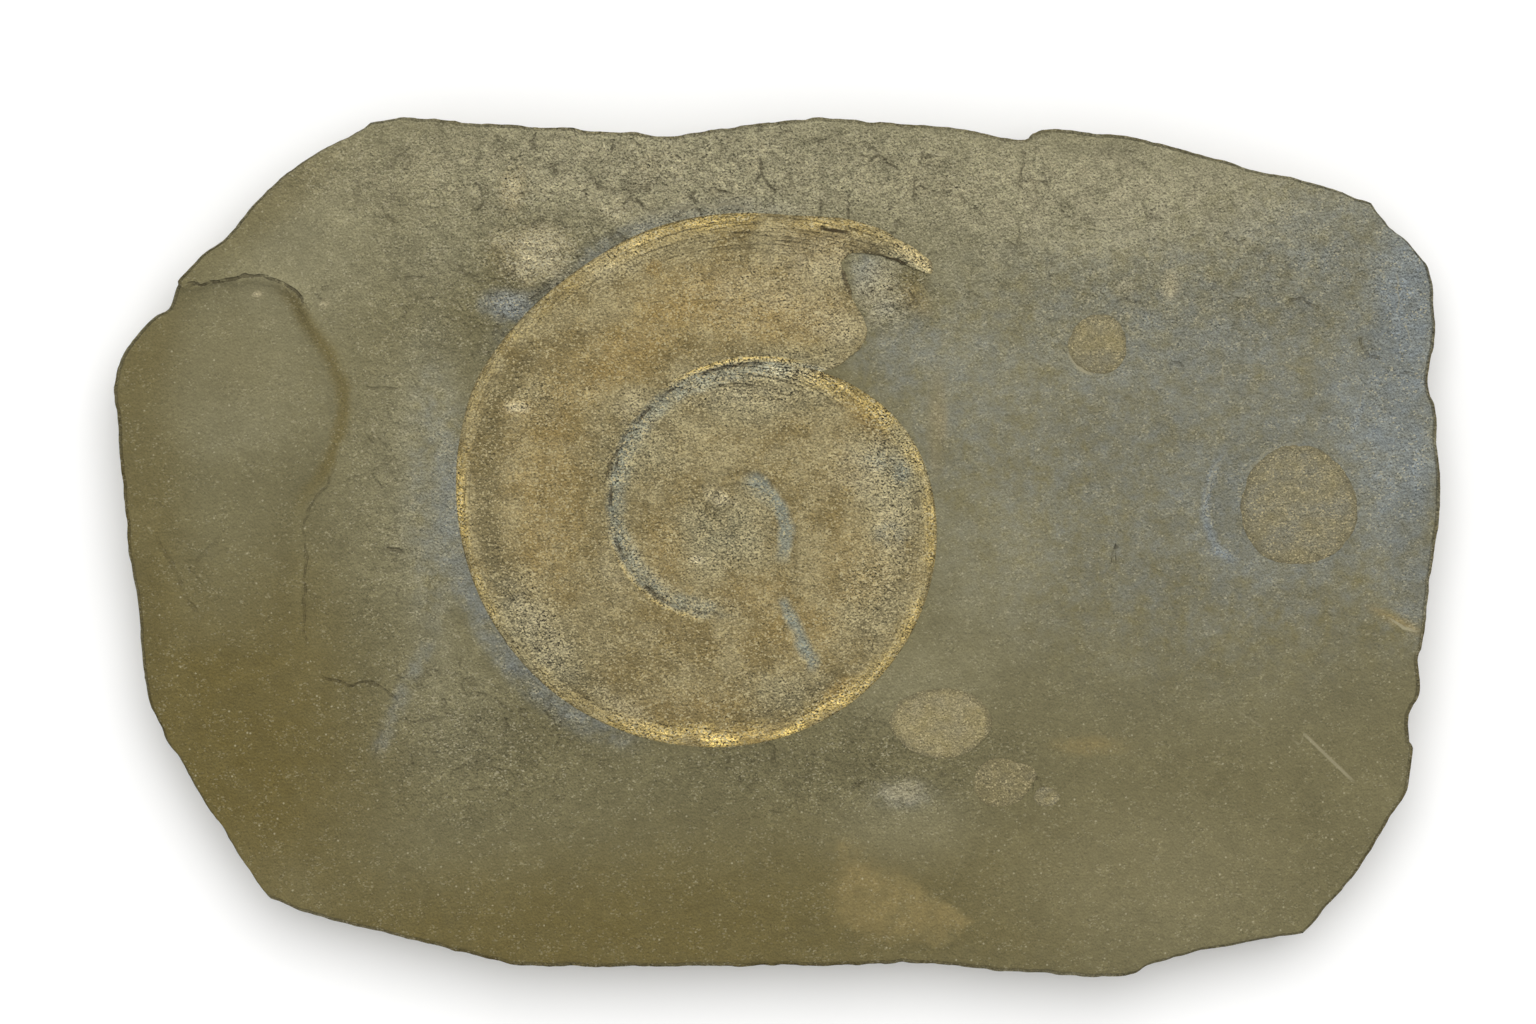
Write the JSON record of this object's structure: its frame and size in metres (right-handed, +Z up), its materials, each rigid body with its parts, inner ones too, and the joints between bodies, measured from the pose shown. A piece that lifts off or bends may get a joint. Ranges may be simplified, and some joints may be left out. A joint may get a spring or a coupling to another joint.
{
  "type": "ammonite fossil on a shale slab",
  "caption": "Broken shale slab lying flat, with a pressed coiled ammonite and small round shells fixed in its face.",
  "frame": {"origin": "middle of the slab's outline, on its flat underside", "axes": "+X along the slab's length, towards the large round shell; +Y across the face, towards the ammonite's mouth; +Z up, out of the fossil face"},
  "size_m": [0.1988, 0.1288, 0.0149],
  "materials": {
    "shale": "matt grey-olive shale, browner at the lower left, blue-grey where bare",
    "ammonite_shell": "grainy ochre shell with a golden rim, slight sheen",
    "small_shell": "matt tan shell film"
  },
  "bodies": {
    "root": {"shale_slab": "shale", "ammonite": "ammonite_shell", "round_shell_upper": "small_shell", "round_shell_right": "small_shell", "oval_shell_lower": "small_shell", "small_shell_lower": "small_shell", "tiny_shell_lower": "small_shell"}
  },
  "joints": []
}
